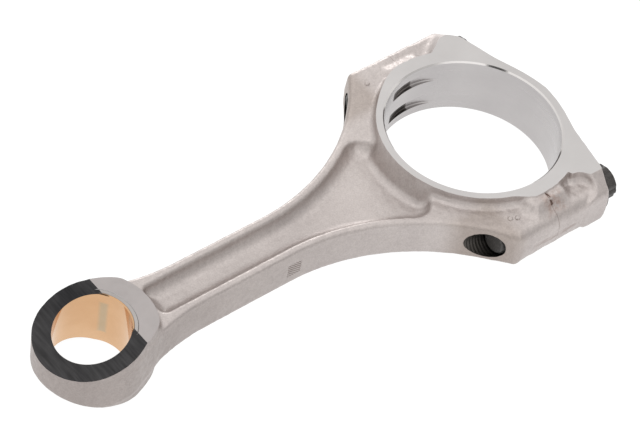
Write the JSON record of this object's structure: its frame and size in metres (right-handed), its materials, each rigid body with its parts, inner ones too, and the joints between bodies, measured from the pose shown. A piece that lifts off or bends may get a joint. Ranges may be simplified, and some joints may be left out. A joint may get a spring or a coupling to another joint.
{
  "type": "connecting rod",
  "caption": "Split connecting rod for a piston engine: I-section shank, wedge-shaped small end with a bronze-lined bush, and a big end whose bolted cap comes off.",
  "frame": {"origin": "centre of the big-end bore, on the split between rod and cap and half way through its width", "axes": "+X from the big end towards the small end, +Z along both bores, +Y across the rod"},
  "size_m": [0.2068, 0.0888, 0.022],
  "materials": {
    "forged_steel": "shot-peened forging with fine-machined faces and bores",
    "bush_steel": "fine turned",
    "bronze": "fine bored, glossy",
    "black_steel": "black oxide, oiled"
  },
  "bodies": {
    "rod": {"connecting_rod": "forged_steel", "bush_shell": "bush_steel", "bush_lining": "bronze"},
    "cap": {"big_end_cap": "forged_steel"},
    "bolt_left": {"cap_bolt_left": "black_steel"},
    "bolt_right": {"cap_bolt_right": "black_steel"}
  },
  "joints": [
    {"name": "cap_slide", "type": "slide", "parent": "rod", "child": "cap", "axis": [-1, 0, 0], "range_m": [0, 0.0225]},
    {"name": "bolt_left_turn", "type": "hinge", "parent": "cap", "child": "bolt_left", "pos_m": [-0.022, 0.0355, 0], "axis": [-1, 0, 0], "range_deg": [0, 6480]},
    {"name": "bolt_right_turn", "type": "hinge", "parent": "cap", "child": "bolt_right", "pos_m": [-0.022, -0.0355, 0], "axis": [-1, 0, 0], "range_deg": [0, 6480]}
  ],
  "couplings": [
    {"joint": "bolt_left_turn", "follows": "cap_slide", "rad_per_m": 5026.5},
    {"joint": "bolt_right_turn", "follows": "cap_slide", "rad_per_m": 5026.5}
  ]
}
